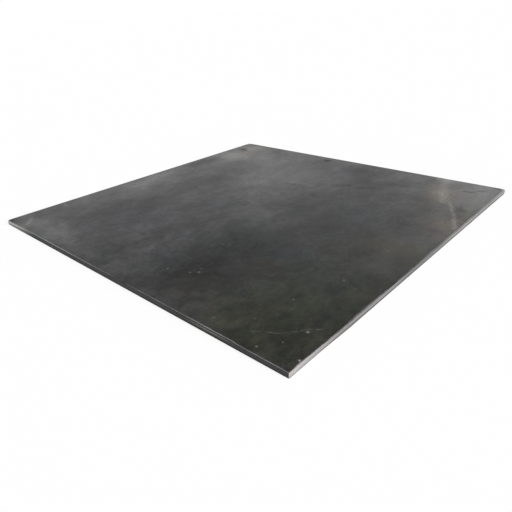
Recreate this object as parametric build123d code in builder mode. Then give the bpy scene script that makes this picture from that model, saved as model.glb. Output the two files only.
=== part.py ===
from build123d import *
import os

# Square of hot-rolled mild steel plate, sheared to size on all four sides.
# The origin is the middle of the underside, +Z is up, and the plate lies flat on z = 0.
# X is the plate's length and Y is its width.

# Sizes of the stock
plate_length = 600.0
plate_width = 600.0
plate_thickness = 8.0

# Sizes of a sheared edge, which has a rolled shoulder where the blade came in,
# a smooth band that the blade rubbed, and a torn band that breaks back to a blunted burr
roll_depth = 0.9
roll_reach = 1.7
burnish_height = 3.9
tear_lean = 0.3
burr_radius = 0.2


def sheared_section(span):
    """Section of the plate from one cut edge to the opposite one, round its own middle.

    The edge at +X has its rolled shoulder on top. The edge at -X is the same one turned half
    round, because a piece is the held side in one of the two cuts and falls away in the other.
    """
    rim = span / 2
    face = plate_thickness / 2
    shoulder = face - roll_depth
    tear_start = shoulder - burnish_height
    with BuildLine() as half_outline:
        upper_face = Line((0, face), (rim - roll_reach, face))
        roll = TangentArc(upper_face @ 1, (rim, shoulder), tangent=upper_face % 1)
        burnish = Line(roll @ 1, (rim, tear_start))
        tear = Line(burnish @ 1, (rim - tear_lean, -face))
        Line(tear @ 1, (0, -face))
    with BuildSketch() as section:
        add(half_outline.line)
        add(half_outline.line, rotation=180)
        make_face()
        lower_burr = section.vertices().group_by(Axis.Y)[0].sort_by(Axis.X)[-1]
        upper_burr = section.vertices().group_by(Axis.Y)[-1].sort_by(Axis.X)[0]
        fillet([lower_burr, upper_burr], radius=burr_radius)
    return section.sketch


# Both sections stand at mid thickness. Their +X looks to the plate's +X and -Y sides,
# so those two sides have the rolled shoulder on top.
middle = (0, 0, plate_thickness / 2)
along_length = Plane(origin=middle, x_dir=(1, 0, 0), z_dir=(0, -1, 0))
along_width = Plane(origin=middle, x_dir=(0, -1, 0), z_dir=(-1, 0, 0))

# Each section is drawn out well past the other pair of cuts, and the plate is what the
# two bars share, so the edge sections meet in a mitre at each corner.
with BuildPart() as steel_plate:
    with BuildSketch(along_length):
        add(sheared_section(plate_length))
    extrude(amount=plate_width, both=True)
    with BuildSketch(along_width):
        add(sheared_section(plate_width))
    extrude(amount=plate_length, both=True, mode=Mode.INTERSECT)

steel_plate.part.label = "steel_plate"

os.makedirs("parts", exist_ok=True)
export_step(steel_plate.part, "parts/steel_plate.step")
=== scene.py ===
"""Looks of a square of hot-rolled mild steel plate with sheared edges, lying on a pale floor."""

import bpy
import numpy as np
from mathutils import Matrix, Vector


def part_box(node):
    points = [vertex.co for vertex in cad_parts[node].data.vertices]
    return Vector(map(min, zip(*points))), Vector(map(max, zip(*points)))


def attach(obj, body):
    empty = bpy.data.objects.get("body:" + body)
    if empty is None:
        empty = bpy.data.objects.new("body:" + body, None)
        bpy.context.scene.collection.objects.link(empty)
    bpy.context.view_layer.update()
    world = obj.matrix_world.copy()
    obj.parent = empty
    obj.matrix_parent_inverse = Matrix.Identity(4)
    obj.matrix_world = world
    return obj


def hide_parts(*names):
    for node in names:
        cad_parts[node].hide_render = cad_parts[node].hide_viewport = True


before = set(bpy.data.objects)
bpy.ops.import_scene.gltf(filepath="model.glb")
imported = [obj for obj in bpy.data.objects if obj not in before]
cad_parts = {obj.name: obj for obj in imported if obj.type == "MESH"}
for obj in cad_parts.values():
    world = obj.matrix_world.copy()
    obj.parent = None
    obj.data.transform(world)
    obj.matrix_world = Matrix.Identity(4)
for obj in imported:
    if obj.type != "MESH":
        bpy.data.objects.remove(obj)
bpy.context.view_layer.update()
_, cad_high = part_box("steel_plate")

MM = 0.001

# Sizes of the plate, read from the frame
half_side = cad_high.x
side = 2 * half_side
thickness = cad_high.z

# Sizes of the sheared edge, the same as the solid's
roll_depth = 0.9 * MM
roll_reach = 1.7 * MM
burnish_height = 3.9 * MM
tear_lean = 0.3 * MM
burr_radius = 0.2 * MM

# Sizes that only the finished surface has: its corners are blunted and pressed down a little
corner_radius = 1.2 * MM
corner_dip = 0.5 * MM
corner_dip_reach = 7 * MM

# Marks of the shear: how far the line between the rubbed and the torn band wanders, how deep its
# grooves and tears are, by what share the shoulder's inset varies, and how far from a corner they
# are whole
line_wander = 0.5 * MM
groove_depth = 0.02 * MM
tear_depth = 0.12 * MM
roll_variation = 0.18
marks_fade = 4 * MM

# The first side is the one at -Y and the second side the one at +X. They meet at the near corner,
# and the left corner is the first side's other end. By both corners the blade pulled the rims down,
# and by the near one it left the second side short. Each pair of distances goes from where that is
# nothing to where it is whole, and a distance along the second side counts by second_side_share, so
# the near corner's pull reaches further there.
pull_inset = 9 * MM
near_corner_pull = 1.3 * MM
near_corner_pull_reach = (85 * MM, 50 * MM)
second_side_share = 0.7
left_corner_pull = 1.2 * MM
left_corner_pull_rise = (0, 10 * MM)
left_corner_pull_reach = (60 * MM, 8 * MM)
near_corner_short = 1.2 * MM
near_corner_short_reach = (110 * MM, 40 * MM)
near_corner_short_inset = (60 * MM, 0)

# By the near corner some of the scale on the second side's shoulder has come off
lost_scale = 0.42 * roll_depth
lost_scale_reach = 0.16 * side

# How finely the surface is drawn: the places along each side and how evenly they are spread, the
# rings near each face and the height that they take, and the even rings between
samples_per_side = 300
sample_evenness = 0.12
fine_rings = 12
fine_height = 1.1 * MM
even_rings = 20

# Rings on a face, each a share of its rim, closer together near the rim
face_shares = np.array([0.04, 0.15, 0.3, 0.45, 0.6, 0.75, 0.87, 0.93, 0.955, 0.972, 0.983, 0.991, 0.996])

# Each place along the outline is on one of four sides, counted from the first side past the second.
# Those two have the rolled shoulder on top, and the other two have it below.
side_number = np.repeat(np.arange(4), samples_per_side)
rolled_on_top = side_number < 2


# Shape of the plate

def wander(along, wavelengths, seed):
    """Sum of sines along the outline, of the given wavelengths in metres and each at a random phase,
    over their number, so within -1 to 1."""
    phases = np.random.default_rng(seed).uniform(0, 2 * np.pi, len(wavelengths))
    waves = [np.sin(2 * np.pi * along / length + phase) for length, phase in zip(wavelengths, phases)]
    return sum(waves) / len(wavelengths)


def smooth_step(low, high, value):
    """0 at low, 1 at high, and 3t2 - 2t3 of the share t between them. Low may be the larger one."""
    share = np.clip((value - low) / (high - low), 0, 1)
    return share * share * (3 - 2 * share)


def rolled_inset(depth):
    """Inset of the rolled shoulder at a depth below its face: a round arc that leaves the face
    level, roll_reach in from the rim, and meets the rim at roll_depth."""
    radius = (roll_reach ** 2 + roll_depth ** 2) / (2 * roll_depth)
    on_arc = np.clip(depth, 0, roll_depth)
    return roll_reach - np.sqrt(radius ** 2 - (radius - on_arc) ** 2)


def torn_inset(depth, span):
    """Inset of the torn band at a depth below the burred face: a straight lean that ends at span,
    where the rubbed band starts, and a small round where the burr was blunted."""
    lean = tear_lean * np.clip(1 - depth / span, 0, None)
    into_round = np.clip(burr_radius - depth, 0, None)
    return lean + burr_radius - np.sqrt(burr_radius ** 2 - into_round ** 2)


def outline_samples():
    """Share of each side, -1 to 1, closer together near the corners: a straight line mixed with
    a quarter sine, the same for the four sides."""
    even = np.linspace(-1, 1, samples_per_side, endpoint=False)
    return sample_evenness * even + (1 - sample_evenness) * np.sin(np.pi * even / 2)


def edge_heights():
    """Heights of the rings round the cut edges, from the top down. Near the two faces their depths
    are a power of an even series, so they are closer together there, and between they are even."""
    near_face = thickness - fine_height * np.linspace(0, 1, fine_rings) ** 1.7
    between = np.linspace(near_face[-1], thickness - near_face[-1], even_rings + 2)[1:-1]
    return np.concatenate([near_face, between, (thickness - near_face)[::-1]])


def cut_marks(along, away, from_rolled, from_burred):
    """Marks of the shear, by ring and place: the depth of the line between the rubbed and the torn
    band, which wanders, the share of the torn band, and the relief, which is upright grooves on the
    rubbed band and tears on the torn one, and fades out where the bands and the sides end."""
    line = roll_depth + burnish_height + line_wander * away * wander(along, [0.097, 0.041, 0.013, 0.0053], 3)
    torn = smooth_step(-0.12 * MM, 0.22 * MM, from_rolled - line)
    grooves = np.clip(wander(along, [0.0071, 0.0043, 0.0029, 0.0019], 5), 0, None)
    tears = 0.5 + 0.5 * wander(along + 0.6 * from_rolled, [0.0113, 0.0047, 0.0037, 0.0023], 8)
    in_band = smooth_step(0, 0.5 * MM, from_rolled - roll_depth) * smooth_step(0, 0.6 * MM, from_burred)
    relief = away * in_band * (groove_depth * grooves * (1 - torn) + tear_depth * tears * torn)
    return line, torn, relief


def band_shares(along, torn, from_rolled, from_burred):
    """Shares of the edge's bands, 0 to 1, from smooth steps of the depth: the torn band, the
    shoulder as far as its scale reaches, the crest, which handling rubs and on which a highlight is
    painted, the upper and middle parts of the cut, the lip at the burr, and the whole cut."""
    scale_end = roll_depth * (0.75 + 0.25 * wander(along, [0.21, 0.067, 0.023], 11))
    scale_end -= lost_scale * (side_number == 1) * np.exp(-((along - side) / lost_scale_reach) ** 4)
    crest = smooth_step(0, 0.03 * MM, from_rolled) * smooth_step(0.55, 0.15, from_rolled / roll_depth)
    upper = smooth_step(0.2 * MM, 0.6 * MM, from_rolled) * smooth_step(2.9 * MM, 1.9 * MM, from_rolled)
    return {
        "torn": torn,
        "shoulder": smooth_step(1.25, 0.75, from_rolled / scale_end),
        "crest": crest,
        "upper": upper,
        "middle": smooth_step(1.5 * MM, 0.3 * MM, np.abs(from_rolled - 2.7 * MM)),
        "lip": smooth_step(2.2 * MM, 0.7 * MM, from_burred),
        "cut": np.ones_like(from_rolled),
    }


def blunted(x, y, rim_x, rim_y):
    """The outline with blunted corners: a point less than corner_radius from both rims is moved onto
    an arc of that radius, straight away from the arc's centre."""
    centre_x, centre_y = rim_x - corner_radius, rim_y - corner_radius
    past_x, past_y = np.abs(x) - centre_x, np.abs(y) - centre_y
    in_corner = (past_x > 0) & (past_y > 0)
    reach = np.hypot(past_x, past_y)
    scale = np.where(in_corner, corner_radius / np.where(in_corner, reach, 1), 1)
    x = np.where(in_corner, np.sign(x) * (centre_x + past_x * scale), x)
    y = np.where(in_corner, np.sign(y) * (centre_y + past_y * scale), y)
    return x, y


def pressed_by_blade(x, y, z):
    """The surface as the blade left it. Each corner is lower by a bell curve of the distance to it.
    By the near corner both rims are lower, for some 60 mm along the first side and 90 mm along the
    second, and the second side is a little short. Just inside the left corner the first side's rim
    is lower for some 40 mm. All of it fades out inwards, and z shrinks, so the underside stays flat."""
    near = np.hypot(half_side - np.abs(x), half_side - np.abs(y)) / corner_dip_reach
    z = z * (1 - corner_dip / thickness * np.exp(-near ** 2))

    from_second, from_first, from_left = half_side - x, half_side + y, half_side + x
    pull = smooth_step(*near_corner_pull_reach, np.maximum(from_second, second_side_share * from_first))
    pull = pull * np.exp(-(np.minimum(from_second, from_first) / pull_inset) ** 2)
    left = smooth_step(*left_corner_pull_rise, from_left) * smooth_step(*left_corner_pull_reach, from_left)
    left = left * np.exp(-(from_first / pull_inset) ** 2)
    z = z * (1 - (near_corner_pull * pull + left_corner_pull * left) / thickness)

    short = smooth_step(*near_corner_short_reach, from_first)
    short = short * smooth_step(*near_corner_short_inset, from_second)
    return x - near_corner_short * short, y, z


def plate_surface():
    """One closed surface: a profile carried round the square outline. The profile starts in the
    middle of the top, runs out to the rim, down the cut edge and back to the middle of the underside.
    Its two parameters are the ring, from the top's middle to the underside's, and the place along
    the outline. Returns the points and the shares of the edge's bands, each by ring and place."""
    share = outline_samples()
    along = np.concatenate([side * turn + half_side * (share + 1) for turn in range(4)])
    to_corner = half_side * (1 - np.abs(np.tile(share, 4)))
    away = smooth_step(0, marks_fade, to_corner)
    heights = edge_heights()[:, None]
    from_rolled = np.where(rolled_on_top, thickness - heights, heights)
    from_burred = thickness - from_rolled

    line, torn, relief = cut_marks(along, away, from_rolled, from_burred)
    uneven = 1 + roll_variation * away * wander(along, [0.083, 0.031, 0.017], 6)
    inset = rolled_inset(from_rolled) * uneven + torn_inset(from_burred, thickness - line) + relief

    # Corners of each ring, from the insets of the two sides that meet there
    plain = rolled_inset(thickness - heights) + torn_inset(heights, thickness - roll_depth - burnish_height)
    turned = plain[::-1]
    high_x = low_y = half_side - plain
    low_x = high_y = half_side - turned
    x_on = 0.5 * (high_x - low_x) + 0.5 * (high_x + low_x) * share
    y_on = 0.5 * (high_y - low_y) + 0.5 * (high_y + low_y) * share
    out = [half_side - part for part in np.split(inset, 4, axis=1)]
    x = np.concatenate([x_on, out[1], -x_on - (low_x - high_x), -out[3]], axis=1)
    y = np.concatenate([-out[0], y_on, out[2], -y_on - (low_y - high_y)], axis=1)
    x, y = blunted(x, y, np.where(x > 0, high_x, low_x), np.where(y > 0, high_y, low_y))
    z = np.broadcast_to(heights, x.shape)

    # The two faces are their rims drawn in to the middle
    drawn_in = face_shares[:, None]
    top_x, top_y = drawn_in * x[0], drawn_in * y[0]
    under_x, under_y = drawn_in[::-1] * x[-1], drawn_in[::-1] * y[-1]
    flat = np.zeros_like(top_x)
    x = np.concatenate([top_x, x, under_x])
    y = np.concatenate([top_y, y, under_y])
    z = np.concatenate([flat + thickness, z, flat])
    bands = band_shares(along, torn, from_rolled, from_burred)
    shares = {name: np.concatenate([flat, band, flat]) for name, band in bands.items()}
    return np.stack(pressed_by_blade(x, y, z), axis=-1), shares


def closed_mesh(name, points):
    """Mesh of a grid of points, closed round the outline and at both ends by a middle point.
    Each cell of the grid is one face of four corners, in an order that points it outwards. Returns
    the mesh and the number of cells, which come first among its faces."""
    rings, places, _ = points.shape
    number = np.arange(rings * places).reshape(rings, places)
    after = np.roll(number, -1, axis=1)
    cells = np.stack([number[:-1], number[1:], after[1:], after[:-1]], axis=-1).reshape(-1, 4)
    top_pole, under_pole = rings * places, rings * places + 1
    top_fan = np.stack([np.full(places, top_pole), number[0], after[0]], axis=-1)
    under_fan = np.stack([np.full(places, under_pole), after[-1], number[-1]], axis=-1)
    poles = np.array([[0, 0, thickness], [0, 0, 0]])
    vertices = np.concatenate([points.reshape(-1, 3), poles])
    mesh = bpy.data.meshes.new(name)
    mesh.from_pydata(vertices.tolist(), [], cells.tolist() + top_fan.tolist() + under_fan.tolist())
    mesh.polygons.foreach_set("use_smooth", np.ones(len(mesh.polygons), dtype=bool))
    mesh.update()
    return mesh, len(cells)


def float_attribute(mesh, name, values):
    """Stores one number for each point of the mesh under a name that a material can read."""
    attribute = mesh.attributes.new(name, "FLOAT", "POINT")
    attribute.data.foreach_set("value", values.astype(np.float32))


# Materials

def linear(code):
    """Linear colour of an sRGB hex value such as #808080: a power of 2.4, or a share of 12.92 near black."""
    parts = np.array([int(code[i:i + 2], 16) for i in (1, 3, 5)]) / 255
    light = np.where(parts <= 0.04045, parts / 12.92, ((parts + 0.055) / 1.055) ** 2.4)
    return (*light.tolist(), 1.0)


def add(tree, kind, inputs=None, output=0, **settings):
    """Adds one node with its settings, sets or links its inputs by name or number, and returns one
    of its outputs."""
    node = tree.nodes.new(kind)
    for name, value in settings.items():
        setattr(node, name, value)
    for key, value in (inputs or {}).items():
        socket = node.inputs[key]
        if isinstance(value, bpy.types.NodeSocket):
            tree.links.new(value, socket)
        else:
            socket.default_value = value
    return node.outputs[output] if node.outputs else None


def new_material(name):
    """An empty material with nodes and its tree."""
    material = bpy.data.materials.new(name)
    material.use_nodes = True
    material.node_tree.nodes.clear()
    return material, material.node_tree


def summed(tree, start, layers):
    """start plus the value of each layer times its weight."""
    total = start
    for value, weight in layers:
        total = add(tree, "ShaderNodeMath", {0: value, 1: weight, 2: total}, operation="MULTIPLY_ADD")
    return total


def strongest(tree, masks):
    """The largest of several masks at each place."""
    largest = masks[0]
    for mask in masks[1:]:
        largest = add(tree, "ShaderNodeMath", {0: largest, 1: mask}, operation="MAXIMUM")
    return largest


def painted(tree, colour, layers, way="MIX"):
    """A colour with each layer's colour laid over it, or multiplied with it, by the layer's share.
    The node's colours go in at 6 and 7 and come out at 2."""
    for share, over in layers:
        inputs = {0: share, 6: colour, 7: over}
        colour = add(tree, "ShaderNodeMix", inputs, 2, data_type="RGBA", blend_type=way)
    return colour


def at(u, v):
    """Place on the face from shares of the first and second sides, 0 to 1, from the left corner."""
    return ((u - 0.5) * side, (v - 0.5) * side, thickness)


def pushed(tree, place, push, amount):
    """A place moved about by a colour noise, by up to half the amount each way."""
    centred = add(tree, "ShaderNodeVectorMath", {0: push, 1: (0.5, 0.5, 0.5)}, operation="SUBTRACT")
    moved = {0: centred, 1: (amount, amount, 0), 2: place}
    return add(tree, "ShaderNodeVectorMath", moved, operation="MULTIPLY_ADD")


def patch_mask(tree, place, middle, reach):
    """1 in the middle of an oval patch and 0 at its rim, from the distance to its middle over its reach."""
    offset = add(tree, "ShaderNodeVectorMath", {0: place, 1: at(*middle)}, operation="SUBTRACT")
    size = (reach[0] * side, reach[1] * side, 1.0)
    scaled = add(tree, "ShaderNodeVectorMath", {0: offset, 1: size}, operation="DIVIDE")
    distance = add(tree, "ShaderNodeVectorMath", {0: scaled}, "Value", operation="LENGTH")
    fade = {"Value": distance, "From Min": 1.0, "From Max": 0.0}
    return add(tree, "ShaderNodeMapRange", fade, interpolation_type="SMOOTHSTEP")


def stroke_mask(tree, place, start, end, width):
    """1 on the straight line between two places and 0 at width from it, from the distance to the
    nearest point of the line."""
    first, last = np.array(at(*start)), np.array(at(*end))
    run = last - first
    offset = add(tree, "ShaderNodeVectorMath", {0: place, 1: tuple(first)}, operation="SUBTRACT")
    along = {0: offset, 1: tuple(run / (run @ run))}
    share = add(tree, "ShaderNodeVectorMath", along, "Value", operation="DOT_PRODUCT")
    held = add(tree, "ShaderNodeClamp", {0: share})
    reached = add(tree, "ShaderNodeVectorMath", {0: tuple(run), "Scale": held}, operation="SCALE")
    distance = add(tree, "ShaderNodeVectorMath", {0: offset, 1: reached}, "Value", operation="DISTANCE")
    fade = {"Value": distance, "From Min": width * side, "From Max": 0.0}
    return add(tree, "ShaderNodeMapRange", fade, interpolation_type="SMOOTHSTEP")


# Cloudy areas of the scale, partly the oxide's own clouds and partly painted reflection, most of
# all the light ones by the far corner: middle, reach, and how much lighter or darker each is
clouds_and_reflections = [
    ((0.68, 0.20), (0.22, 0.26), -0.16),
    ((0.66, 0.13), (0.08, 0.08), -0.08),
    ((0.58, 0.30), (0.10, 0.12), -0.08),
    ((0.64, 0.62), (0.18, 0.34), -0.06),
    ((0.65, 0.84), (0.10, 0.06), -0.12),
    ((0.22, 0.58), (0.16, 0.20), -0.10),
    ((0.21, 0.26), (0.10, 0.20), -0.10),
    ((0.035, 0.70), (0.045, 0.13), -0.28),
    ((0.76, 0.46), (0.16, 0.14), -0.12),
    ((0.046, 0.925), (0.020, 0.028), -0.36),
    ((0.41, 0.966), (0.030, 0.028), -0.50),
    ((0.96, 0.78), (0.035, 0.07), -0.16),
    ((0.40, 0.70), (0.20, 0.22), 0.08),
    ((0.47, 0.52), (0.10, 0.12), 0.08),
    ((0.09, 0.81), (0.07, 0.07), 0.18),
    ((0.06, 0.95), (0.10, 0.06), 0.18),
    ((0.06, 0.45), (0.08, 0.12), 0.12),
    ((0.25, 0.83), (0.12, 0.10), 0.10),
    ((0.14, 0.04), (0.24, 0.07), 0.18),
    ((0.48, 0.14), (0.05, 0.18), 0.06),
    ((0.52, 0.03), (0.10, 0.06), 0.12),
    ((0.80, 0.04), (0.12, 0.07), 0.14),
    ((0.84, 0.17), (0.09, 0.15), 0.08),
    ((0.93, 0.48), (0.10, 0.16), 0.14),
    ((0.94, 0.90), (0.15, 0.16), 0.36),
    ((0.59, 0.92), (0.12, 0.09), -0.18),
    ((0.62, 0.12), (0.06, 0.13), -0.18),
    ((0.64, 0.27), (0.10, 0.14), -0.14),
    ((0.54, 0.10), (0.05, 0.06), -0.14),
    ((0.54, 0.36), (0.04, 0.08), -0.12),
    ((0.12, 0.87), (0.12, 0.14), 0.16),
    ((0.98, 0.58), (0.05, 0.24), 0.26),
    ((0.03, 0.66), (0.05, 0.22), 0.15),
    ((0.20, 0.03), (0.12, 0.04), 0.18),
    ((0.38, 0.16), (0.08, 0.08), 0.14),
    ((0.39, 0.03), (0.05, 0.04), 0.16),
    ((0.03, 0.22), (0.05, 0.10), 0.16),
    ((0.78, 0.84), (0.08, 0.07), 0.12),
    ((0.84, 0.985), (0.07, 0.05), 0.50),
    ((0.96, 0.975), (0.08, 0.05), 0.34),
    ((0.98, 0.80), (0.05, 0.16), 0.20),
    ((0.35, 0.72), (0.22, 0.24), 0.06),
    ((0.08, 0.40), (0.10, 0.18), 0.08),
    ((0.95, 0.66), (0.10, 0.14), 0.15),
    ((0.96, 0.90), (0.14, 0.12), 0.09),
    ((0.95, 0.37), (0.08, 0.07), 0.09),
    ((0.03, 0.82), (0.05, 0.12), 0.10),
    ((0.59, 0.05), (0.06, 0.07), -0.09),
    ((0.46, 0.12), (0.04, 0.07), 0.08),
    ((0.33, 0.21), (0.05, 0.07), 0.08),
    ((0.68, 0.38), (0.10, 0.06), -0.07),
    ((0.65, 0.17), (0.06, 0.06), -0.06),
    ((0.30, 0.02), (0.14, 0.04), 0.08),
    ((0.10, 0.49), (0.04, 0.06), 0.08),
    ((0.94, 0.02), (0.07, 0.04), 0.07),
    ((0.80, 0.13), (0.07, 0.06), 0.07),
]

# Heat and oil tints of the scale, as filters over it: colour, middle, reach and strength
tint_areas = [
    ("#f4ffd8", (0.88, 0.18), (0.24, 0.30), 1.00),
    ("#fff7c9", (0.91, 0.46), (0.13, 0.10), 0.90),
    ("#dbe8ff", (0.76, 0.60), (0.12, 0.10), 0.80),
    ("#cce0ff", (0.74, 0.30), (0.10, 0.06), 0.90),
    ("#d0deff", (0.55, 0.13), (0.09, 0.07), 0.60),
    ("#ffdabd", (0.76, 0.245), (0.06, 0.04), 0.80),
    ("#efdcff", (0.24, 0.23), (0.17, 0.22), 0.80),
    ("#e4ecff", (0.38, 0.46), (0.20, 0.16), 0.50),
    ("#ffe6c8", (0.965, 0.66), (0.06, 0.12), 0.80),
    ("#ffe7c4", (0.08, 0.92), (0.15, 0.15), 0.90),
    ("#fff4e2", (0.95, 0.72), (0.12, 0.22), 0.80),
    ("#ffe9c2", (0.87, 0.85), (0.07, 0.18), 1.00),
    ("#fdfce2", (0.86, 0.05), (0.28, 0.14), 1.00),
    ("#fcfdee", (0.98, 0.36), (0.06, 0.40), 1.00),
    ("#f9fff2", (0.99, 0.80), (0.07, 0.26), 1.00),
    ("#f7f3ff", (0.36, 0.26), (0.30, 0.30), 1.00),
    ("#f1e6ff", (0.56, 0.87), (0.28, 0.13), 1.00),
    ("#dfeaff", (0.60, 0.30), (0.13, 0.18), 0.70),
    ("#fff0d0", (0.69, 0.10), (0.08, 0.07), 0.90),
]

# Smudges a few centimetres long: the ends, the half width, and how much lighter or darker each is
smudges = [
    ((0.455, 0.715), (0.525, 0.712), 0.022, 0.10),
    ((0.440, 0.598), (0.490, 0.592), 0.018, 0.09),
    ((0.455, 0.505), (0.490, 0.500), 0.018, 0.09),
    ((0.540, 0.468), (0.580, 0.450), 0.020, 0.08),
    ((0.475, 0.432), (0.490, 0.400), 0.018, 0.08),
    ((0.450, 0.258), (0.480, 0.250), 0.018, 0.10),
    ((0.440, 0.212), (0.470, 0.190), 0.014, 0.12),
    ((0.130, 0.092), (0.200, 0.062), 0.020, 0.10),
    ((0.581, 0.755), (0.615, 0.780), 0.020, -0.12),
    ((0.655, 0.775), (0.686, 0.796), 0.022, -0.13),
    ((0.450, 0.690), (0.510, 0.704), 0.012, -0.08),
    ((0.570, 0.650), (0.595, 0.640), 0.018, -0.12),
    ((0.325, 0.175), (0.400, 0.172), 0.010, -0.12),
    ((0.725, 0.860), (0.765, 0.866), 0.020, -0.09),
]

# The pale scuff across the corner at +X and +Y, where something hard was dragged: the ends, the
# half width and the strength of each stroke of its haze and its core
scuff_haze = [
    ((0.822, 1.000), (0.850, 0.871), 0.050, 0.40),
    ((0.850, 0.871), (0.895, 0.760), 0.045, 0.28),
    ((0.901, 0.779), (0.966, 0.661), 0.045, 0.26),
]
scuff_core = [
    ((0.830, 0.998), (0.845, 0.945), 0.022, 0.95),
    ((0.845, 0.945), (0.866, 0.885), 0.030, 1.00),
    ((0.866, 0.885), (0.899, 0.806), 0.025, 1.00),
    ((0.912, 0.815), (0.939, 0.762), 0.010, 0.95),
    ((0.939, 0.762), (0.969, 0.701), 0.010, 0.80),
    ((0.969, 0.701), (0.993, 0.650), 0.012, 0.95),
]

# Light scratches and rubs: the ends and the half width of each
light_scratches = [
    ((0.880, 0.040), (0.925, 0.066), 0.0013),
    ((0.925, 0.066), (0.955, 0.104), 0.0011),
    ((0.955, 0.104), (0.994, 0.136), 0.0013),
    ((0.047, 0.050), (0.076, 0.022), 0.0085),
    ((0.020, 0.160), (0.052, 0.159), 0.0065),
    ((0.947, 0.933), (0.974, 0.926), 0.0080),
]

# Dark scratches of the same kind, where the scale was pushed up
dark_scratches = [
    ((0.912, 0.917), (0.929, 0.921), 0.0090),
    ((0.929, 0.921), (0.948, 0.940), 0.0040),
    ((0.948, 0.940), (0.960, 0.955), 0.0075),
    ((0.960, 0.955), (0.988, 0.990), 0.0040),
]

# Specks of grit and bare metal: the middle, the reach and the strength of each
specks = [
    ((0.960, 0.100), 0.0042, 0.36),
    ((0.945, 0.052), 0.0032, 0.20),
    ((0.918, 0.016), 0.0032, 0.34),
    ((0.800, 0.030), 0.0036, 0.18),
    ((0.862, 0.076), 0.0028, 0.22),
    ((0.880, 0.166), 0.0036, 0.18),
    ((0.915, 0.280), 0.0042, 0.20),
    ((0.642, 0.115), 0.0036, 0.30),
    ((0.657, 0.126), 0.0040, 0.34),
    ((0.651, 0.138), 0.0028, 0.26),
    ((0.586, 0.098), 0.0042, 0.30),
    ((0.584, 0.234), 0.0032, 0.24),
    ((0.599, 0.252), 0.0032, 0.24),
    ((0.611, 0.261), 0.0032, 0.24),
    ((0.478, 0.491), 0.0040, 0.20),
    ((0.994, 0.035), 0.0042, 0.55),
]


def scale_noises(tree, place, near):
    """Clouds of the oxide, about 120 mm across, its mottle and flecks, about 30 and 7 mm across and
    drawn out along the rolling, and its grain. The real grain is under 1 mm, and is drawn at 2.5 mm
    so that it shows."""
    rolled = add(tree, "ShaderNodeMapping", {"Vector": near, "Scale": (1.0, 0.6, 1.0)})

    # Where each is read, its size in millimetres, its detail and its roughness
    kinds = [(place, 120, 3.0, 0.5), (rolled, 30, 5.0, 0.65), (rolled, 7, 4.0, 0.7), (place, 2.5, 2.0, 0.6)]
    noises = []
    for where, size, detail, roughness in kinds:
        inputs = {"Vector": where, "Scale": 1 / (size * MM), "Detail": detail, "Roughness": roughness}
        noises.append(add(tree, "ShaderNodeTexNoise", inputs))
    return noises


def scale_tone(tree, noises, near, warped):
    """How light the scale is: a mean, and about it the weighted noises, the cloudy areas, partly
    painted reflection, the smudges, and the 16 mm blotches that old oil has drawn into the near half
    of the face."""
    mean = 0.36
    weights = [0.30, 0.46, 0.40, 0.20]
    areas = [(patch_mask(tree, warped, middle, reach), lift) for middle, reach, lift in clouds_and_reflections]
    lines = [(stroke_mask(tree, near, start, end, width), lift) for start, end, width, lift in smudges]
    oily = patch_mask(tree, near, (0.62, 0.10), (0.66, 0.46))
    blotches = {"Vector": near, "Scale": 1 / (16 * MM), "Detail": 4.0, "Roughness": 0.65}
    blotches = add(tree, "ShaderNodeTexNoise", blotches)
    blotches = add(tree, "ShaderNodeMath", {0: blotches, 1: 0.5}, operation="SUBTRACT")
    blotches = add(tree, "ShaderNodeMath", {0: blotches, 1: oily}, operation="MULTIPLY")
    layers = list(zip(noises, weights)) + areas + lines + [(blotches, 0.75)]
    return summed(tree, mean - 0.5 * sum(weights), layers)


def scale_colour(tree, tone, near, warped):
    """Colour of the scale: darker where the oxide is thicker, with its tints laid over it, and
    changing a little every centimetre or so, by up to a tenth each way."""
    ramp = add(tree, "ShaderNodeValToRGB", {"Fac": tone})
    stops = ramp.node.color_ramp.elements
    stops[0].color = linear("#080808")
    stops[1].color = linear("#656567")
    stops.new(0.3).color = linear("#222322")
    stops.new(0.5).color = linear("#3a3a3b")
    tints = []
    for code, middle, reach, strength in tint_areas:
        mask = patch_mask(tree, warped, middle, reach)
        mask = add(tree, "ShaderNodeMath", {0: mask, 1: strength}, operation="MULTIPLY")
        tints.append((mask, linear(code)))
    colour = painted(tree, ramp, tints, "MULTIPLY")
    change = {"Vector": near, "Scale": 1 / (14 * MM), "Detail": 4.0, "Roughness": 0.7}
    change = add(tree, "ShaderNodeTexNoise", change, "Color")
    over = {0: change, 1: (0.5, 0.5, 0.5), 2: (0.75, 0.75, 0.75)}
    over = add(tree, "ShaderNodeVectorMath", over, operation="MULTIPLY_ADD")
    return add(tree, "ShaderNodeVectorMath", {0: colour, 1: over}, operation="MULTIPLY")


def scuff_mask(tree, place, near):
    """The strongest of the scuff's strokes at each place, broken up by 4 mm grit."""
    strokes = []
    for start, end, width, strength in scuff_haze + scuff_core:
        mask = stroke_mask(tree, near, start, end, width)
        strokes.append(add(tree, "ShaderNodeMath", {0: mask, 1: strength}, operation="MULTIPLY"))
    grit = {"Vector": place, "Scale": 1 / (4 * MM), "Detail": 4.0, "Roughness": 0.75}
    grit = add(tree, "ShaderNodeTexNoise", grit)
    gritty = add(tree, "ShaderNodeMapRange", {"Value": grit, "From Min": 0.42, "From Max": 0.62})
    broken = summed(tree, 0.20, [(gritty, 0.80)])
    return add(tree, "ShaderNodeMath", {0: strongest(tree, strokes), 1: broken}, operation="MULTIPLY")


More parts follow.
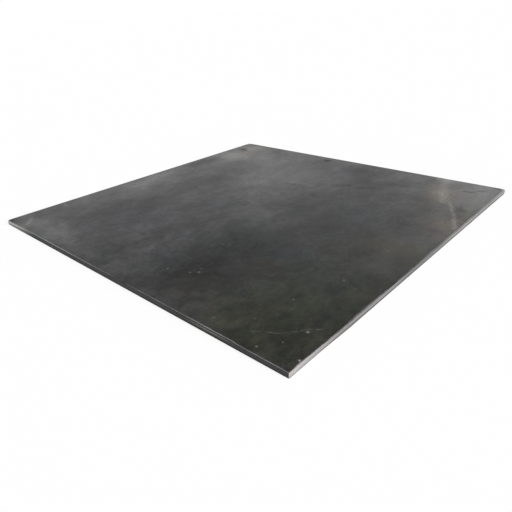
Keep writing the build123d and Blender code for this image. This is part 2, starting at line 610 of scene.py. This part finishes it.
def speck_mask(tree, place, ragged):
    """Specks of grit and bare metal, and specks of dust about 2 mm across, one in some of the cells
    of a 34 mm pattern."""
    spots = []
    for middle, reach, strength in specks:
        mask = patch_mask(tree, ragged, middle, (reach, reach))
        spots.append(add(tree, "ShaderNodeMath", {0: mask, 1: strength}, operation="MULTIPLY"))
    cells = {"Vector": place, "Scale": 1 / (34 * MM), "Randomness": 1.0}
    away = add(tree, "ShaderNodeTexVoronoi", cells, "Distance", voronoi_dimensions="2D")
    pick = add(tree, "ShaderNodeSeparateColor", {0: away.node.outputs["Color"]})
    pick = add(tree, "ShaderNodeMapRange", {"Value": pick, "From Min": 0.6, "From Max": 1.0, "To Max": 0.15})
    dust = add(tree, "ShaderNodeMapRange", {"Value": away, "From Min": 0.040, "From Max": 0.01})
    spots.append(add(tree, "ShaderNodeMath", {0: dust, 1: pick}, operation="MULTIPLY"))
    return strongest(tree, spots)


def mill_scale():
    """Hot-rolled mild steel with its mill scale on: a thin blue-black oxide, rolled hard and left
    bare. To the eye it is dark and nearly even from above, cloudy where the oxide is thicker and
    where reflection is painted into its colour, with a satin sheen that turns pale at a low angle."""
    material, tree = new_material("mill_scale_steel")
    place = add(tree, "ShaderNodeTexCoord", None, "Object")

    # Soft edges of every patch come from places pushed about by a 40 mm noise, and ragged ones of
    # the specks and light scratches from a 2 mm noise as well
    soft_push = {"Vector": place, "Scale": 1 / (40 * MM), "Detail": 4.0, "Roughness": 0.6}
    soft_push = add(tree, "ShaderNodeTexNoise", soft_push, "Color")
    rough_push = {"Vector": place, "Scale": 1 / (2 * MM), "Detail": 2.0, "Roughness": 0.7}
    rough_push = add(tree, "ShaderNodeTexNoise", rough_push, "Color")
    warped = pushed(tree, place, soft_push, 60 * MM)
    near = pushed(tree, place, soft_push, 9 * MM)
    ragged = pushed(tree, near, rough_push, 2.5 * MM)

    noises = scale_noises(tree, place, near)
    _, mottle, flecks, grain = noises
    tone = scale_tone(tree, noises, near, warped)
    scuff = scuff_mask(tree, place, near)

    # The light scratches are faint where the noise of the flecks is low
    faded = add(tree, "ShaderNodeMapRange", {"Value": flecks, "From Min": 0.35, "From Max": 0.60})
    light = strongest(tree, [stroke_mask(tree, ragged, *scratch) for scratch in light_scratches])
    light = add(tree, "ShaderNodeMath", {0: light, 1: faded}, operation="MULTIPLY")
    dark = strongest(tree, [stroke_mask(tree, near, *scratch) for scratch in dark_scratches])

    marks = [
        (add(tree, "ShaderNodeMath", {0: scuff, 1: 0.60}, operation="MULTIPLY"), linear("#9c9991")),
        (add(tree, "ShaderNodeMath", {0: light, 1: 0.30}, operation="MULTIPLY"), linear("#8e918e")),
        (add(tree, "ShaderNodeMath", {0: dark, 1: 0.60}, operation="MULTIPLY"), linear("#141414")),
        (speck_mask(tree, place, ragged), linear("#b4b6b2")),
    ]
    colour = painted(tree, scale_colour(tree, tone, near, warped), marks)

    # Thicker oxide is rougher, and so are the scuff and the dark scratches
    roughness = summed(tree, 0.48, [(tone, -0.38), (scuff, 0.10), (dark, 0.22)])
    roughness = add(tree, "ShaderNodeClamp", {0: roughness, 1: 0.25, 2: 0.60})

    # Relief: rolled-in ripple a few hundredths of a millimetre deep, and the grain
    ripple = {"Strength": 0.25, "Distance": 0.05 * MM, "Height": mottle}
    ripple = add(tree, "ShaderNodeBump", ripple)
    relief = {"Strength": 0.18, "Distance": 0.04 * MM, "Height": grain, "Normal": ripple}
    relief = add(tree, "ShaderNodeBump", relief)

    surface = {"Base Color": colour, "Roughness": roughness, "Normal": relief}
    shader = add(tree, "ShaderNodeBsdfPrincipled", surface)
    add(tree, "ShaderNodeOutputMaterial", {"Surface": shader})
    return material


# Places where the rolled shoulder's crest is lighter, partly rubbed to the metal by handling and
# partly a painted highlight: middle, reach and how much more than elsewhere
worn_and_highlight_areas = [
    ((0.20, 0.0), (0.34, 0.3), 0.50),
    ((0.00, 0.0), (0.05, 0.1), 0.50),
    ((0.56, 0.0), (0.10, 0.1), -0.15),
    ((0.84, 0.0), (0.08, 0.1), 0.28),
    ((0.97, 0.0), (0.04, 0.1), 0.15),
    ((1.00, 0.025), (0.02, 0.012), 0.40),
    ((1.00, 0.08), (0.02, 0.06), -0.35),
    ((1.00, 0.35), (0.03, 0.26), -0.30),
    ((1.00, 1.0), (0.20, 0.5), 0.35),
]


def sheared_steel():
    """Mild steel where the shear cut it: a rolled shoulder that keeps its scale, a rubbed band and a
    torn band, with a lip by the burr painted darker, partly dirt and partly painted shade. The two
    newer cuts are bare grey metal, partly painted light, and the two older ones have gone matt and
    dark, partly painted shade, with the shoulder's crest a thin light line, partly rubbed by handling
    and partly a painted highlight."""
    material, tree = new_material("sheared_steel")
    place = add(tree, "ShaderNodeTexCoord", None, "Object")
    names = ["torn", "fresh_and_lit", "shoulder", "crest", "upper", "middle", "lip"]
    bands = [add(tree, "ShaderNodeAttribute", None, "Fac", attribute_name=name) for name in names]
    torn, fresh_and_lit, shoulder, crest, upper_part, middle_part, lip = bands

    # Streaks of the blade run along the edge, about 1 mm high and 60 mm long. Its cut marks stand
    # across it about 1 mm apart, and are drawn at 3 mm so that they show. Blotches of dirt and
    # handling are some 36 mm long.
    patterns = []
    for length, height, detail in [(62.5, 1.111, 3.0), (3.03, 25.0, 2.0), (35.7, 16.7, 4.0)]:
        scale = (1 / (length * MM), 1 / (length * MM), 1 / (height * MM))
        stretched = add(tree, "ShaderNodeMapping", {"Vector": place, "Scale": scale})
        inputs = {"Vector": stretched, "Scale": 1.0, "Detail": detail, "Roughness": 0.6}
        patterns.append(add(tree, "ShaderNodeTexNoise", inputs))
    streaks, marks, blotches = patterns

    # The second side's cut is lighter at the near corner, a painted highlight, and darker about its middle
    near_corner_highlight = patch_mask(tree, place, (1.0, 0.0), (0.3, 0.16))
    darker_middle = patch_mask(tree, place, (1.0, 0.46), (0.3, 0.20))
    # On the newer cuts the colour is lighter, partly bare metal and partly painted light, and the torn band
    # is darker, partly matt metal and partly painted shade where it leans in and faces down
    bare_lit_colour = [(darker_middle, linear("#5f5c5e")), (torn, linear("#575450")), (near_corner_highlight, linear("#a5a1a0"))]
    # The lip by the burr is darker on both kinds of cut, partly dirt and partly painted shade, which on the
    # cuts with the burr below lies by the floor
    bare_lit_colour = painted(tree, linear("#7d797b"), bare_lit_colour + [(lip, linear("#34342f"))])
    # The older cuts are dark, partly matt metal and partly painted shade
    matt_shaded_colour = painted(tree, linear("#323435"), [(torn, linear("#35322f")), (lip, linear("#121212"))])
    colour = painted(tree, matt_shaded_colour, [(fresh_and_lit, bare_lit_colour)])
    shade = summed(tree, -0.15, [(streaks, 1.4), (marks, 0.35), (blotches, 0.55)])
    shaded = add(tree, "ShaderNodeVectorMath", {0: colour, "Scale": shade}, operation="SCALE")

    # The shoulder is scale, and its crest is lighter in places, partly rubbed to the metal and partly a
    # painted highlight
    worn_and_highlight_patches = [(patch_mask(tree, place, middle, reach), lift) for middle, reach, lift in worn_and_highlight_areas]
    wear_and_highlight = add(tree, "ShaderNodeClamp", {0: summed(tree, -0.20, worn_and_highlight_patches + [(blotches, 1.1)])})
    worn_and_highlit = add(tree, "ShaderNodeMath", {0: crest, 1: wear_and_highlight}, operation="MULTIPLY")

    # Knocks have bared the first side's cut at the left corner, most of all its upper part, and
    # something has rubbed a lighter line along its middle a little before the near corner
    bared = patch_mask(tree, place, (0.0, 0.0), (0.17, 0.3))
    bared_upper = add(tree, "ShaderNodeMath", {0: bared, 1: upper_part}, operation="MULTIPLY")
    rubbed = patch_mask(tree, place, (0.82, 0.0), (0.075, 0.3))
    rubbed = add(tree, "ShaderNodeMath", {0: rubbed, 1: middle_part}, operation="MULTIPLY")
    layers = [(bared, linear("#898986")), (rubbed, linear("#74726d")), (shoulder, linear("#1d1e1d"))]
    layers += [(worn_and_highlit, linear("#b6b7b6")), (bared_upper, linear("#d2d2ce"))]
    colour = painted(tree, shaded, layers)

    bare = add(tree, "ShaderNodeMath", {0: shoulder, 1: -1.0, 2: 1.0}, operation="MULTIPLY_ADD")
    bare = add(tree, "ShaderNodeMath", {0: bare, 1: fresh_and_lit}, operation="MULTIPLY")
    metal = summed(tree, 0.0, [(bare, 0.5), (worn_and_highlit, 0.4)])
    roughness = summed(tree, 0.80, [(fresh_and_lit, -0.38), (torn, 0.10), (worn_and_highlit, -0.30)])
    relief = add(tree, "ShaderNodeBump", {"Strength": 0.4, "Distance": 0.06 * MM, "Height": marks})
    surface = {"Base Color": colour, "Roughness": roughness, "Metallic": metal, "Normal": relief}
    shader = add(tree, "ShaderNodeBsdfPrincipled", surface)
    add(tree, "ShaderNodeOutputMaterial", {"Surface": shader})
    return material


# The plate

points, shares = plate_surface()
mesh, cell_count = closed_mesh("rolled_plate", points)
on_edge = shares.pop("cut") > 0

# The cuts at +X and -X are the newer ones, and their lighter colour is partly painted light. The two middle
# points of the faces are on no band.
shares["fresh_and_lit"] = np.broadcast_to(side_number % 2 == 1, on_edge.shape)
for name, values in shares.items():
    float_attribute(mesh, name, np.append(values, np.zeros(2)))

# The faces are mill scale, and the cells between two rings of the cut are sheared steel
mesh.materials.append(mill_scale())
mesh.materials.append(sheared_steel())
slots = np.zeros(len(mesh.polygons), dtype=np.int32)
slots[:cell_count] = (on_edge[:-1] & on_edge[1:]).reshape(-1)
mesh.polygons.foreach_set("material_index", slots)
plate = bpy.data.objects.new("rolled_plate", mesh)
bpy.context.scene.collection.objects.link(plate)
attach(plate, "root")
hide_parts("steel_plate")


# Floor, light and camera

def pale_floor():
    """Wide white floor just under the plate. The camera and reflections see it glow white by
    glow_share, and the rest of it takes the plate's soft shadow."""
    material, tree = new_material("pale_floor")
    reach, height = 400.0, -0.02 * MM
    glow_share = 0.85
    around = ((-reach, -reach), (reach, -reach), (reach, reach), (-reach, reach))
    corners = [(x, y, height) for x, y in around]
    floor_mesh = bpy.data.meshes.new("floor")
    floor_mesh.from_pydata(corners, [], [(0, 1, 2, 3)])
    floor_mesh.materials.append(material)
    ray = add(tree, "ShaderNodeLightPath").node.outputs
    seen = strongest(tree, [ray["Is Camera Ray"], ray["Is Glossy Ray"], ray["Is Transmission Ray"]])
    share = add(tree, "ShaderNodeMath", {0: seen, 1: glow_share}, operation="MULTIPLY")
    lit = add(tree, "ShaderNodeBsdfDiffuse", {"Color": linear("#fafafa")})
    glow = add(tree, "ShaderNodeEmission", {"Color": (1, 1, 1, 1), "Strength": 1.0})
    both = add(tree, "ShaderNodeMixShader", {0: share, 1: lit, 2: glow})
    add(tree, "ShaderNodeOutputMaterial", {"Surface": both})
    floor = bpy.data.objects.new("floor", floor_mesh)
    bpy.context.scene.collection.objects.link(floor)


def soft_world():
    """White at the horizon, like the walls of a white studio, and dimmer overhead."""
    world = bpy.data.worlds.new("studio")
    bpy.context.scene.world = world
    world.use_nodes = True
    tree = world.node_tree
    tree.nodes.clear()
    direction = add(tree, "ShaderNodeTexCoord", None, "Generated")
    height = add(tree, "ShaderNodeSeparateXYZ", {0: direction}, "Z")
    level = {"Value": height, "From Min": 0.24, "From Max": 0.52, "To Min": 1.0, "To Max": 0.12}
    level = add(tree, "ShaderNodeMapRange", level, interpolation_type="SMOOTHSTEP")
    background = add(tree, "ShaderNodeBackground", {"Color": (1, 1, 1, 1), "Strength": level})
    add(tree, "ShaderNodeOutputWorld", {"Surface": background})


def soft_sun(name, place, power, spread):
    """Far soft lamp that shines from a place towards the origin, spread over an angle in degrees."""
    lamp = bpy.data.lights.new(name, "SUN")
    lamp.energy = power
    lamp.angle = np.radians(spread)
    holder = bpy.data.objects.new(name, lamp)
    holder.rotation_euler = (-Vector(place)).to_track_quat("-Z", "Y").to_euler()
    bpy.context.scene.collection.objects.link(holder)


def photo_camera():
    """Camera at the photo's place: beyond the near corner and above it, 1.35 sides' lengths from the
    plate's middle, with the plate's outline as it stands in the photo. Its axes come from how far it
    is turned about the upright, lowered and rolled, in degrees."""
    place = np.array([0.8469, -0.9322, 0.4995]) * side
    turned, lowered, rolled = np.radians([43.125, 27.279, 2.850])
    focal_pixels, frame_pixels = 473.9, 512.0
    ahead = np.array([-np.sin(turned) * np.cos(lowered), np.cos(turned) * np.cos(lowered), -np.sin(lowered)])
    level_right = np.array([np.cos(turned), np.sin(turned), 0.0])
    level_up = np.cross(level_right, ahead)
    right = np.cos(rolled) * level_right - np.sin(rolled) * level_up
    up = np.cross(right, ahead)
    lens = bpy.data.cameras.new("photo_camera")
    lens.sensor_width = 36.0
    lens.lens = focal_pixels / frame_pixels * lens.sensor_width
    lens.clip_start = 0.01
    lens.clip_end = 1000.0
    camera = bpy.data.objects.new("photo_camera", lens)
    turn_and_place = np.eye(4)
    turn_and_place[:3] = np.column_stack([right, up, -ahead, place])
    camera.matrix_world = Matrix(turn_and_place.tolist())
    bpy.context.scene.collection.objects.link(camera)
    bpy.context.scene.camera = camera


pale_floor()
soft_world()
soft_sun("key", place=(1.9, 0.15, 1.3), power=4.2, spread=40.0)
photo_camera()
bpy.context.scene.view_settings.view_transform = "Standard"
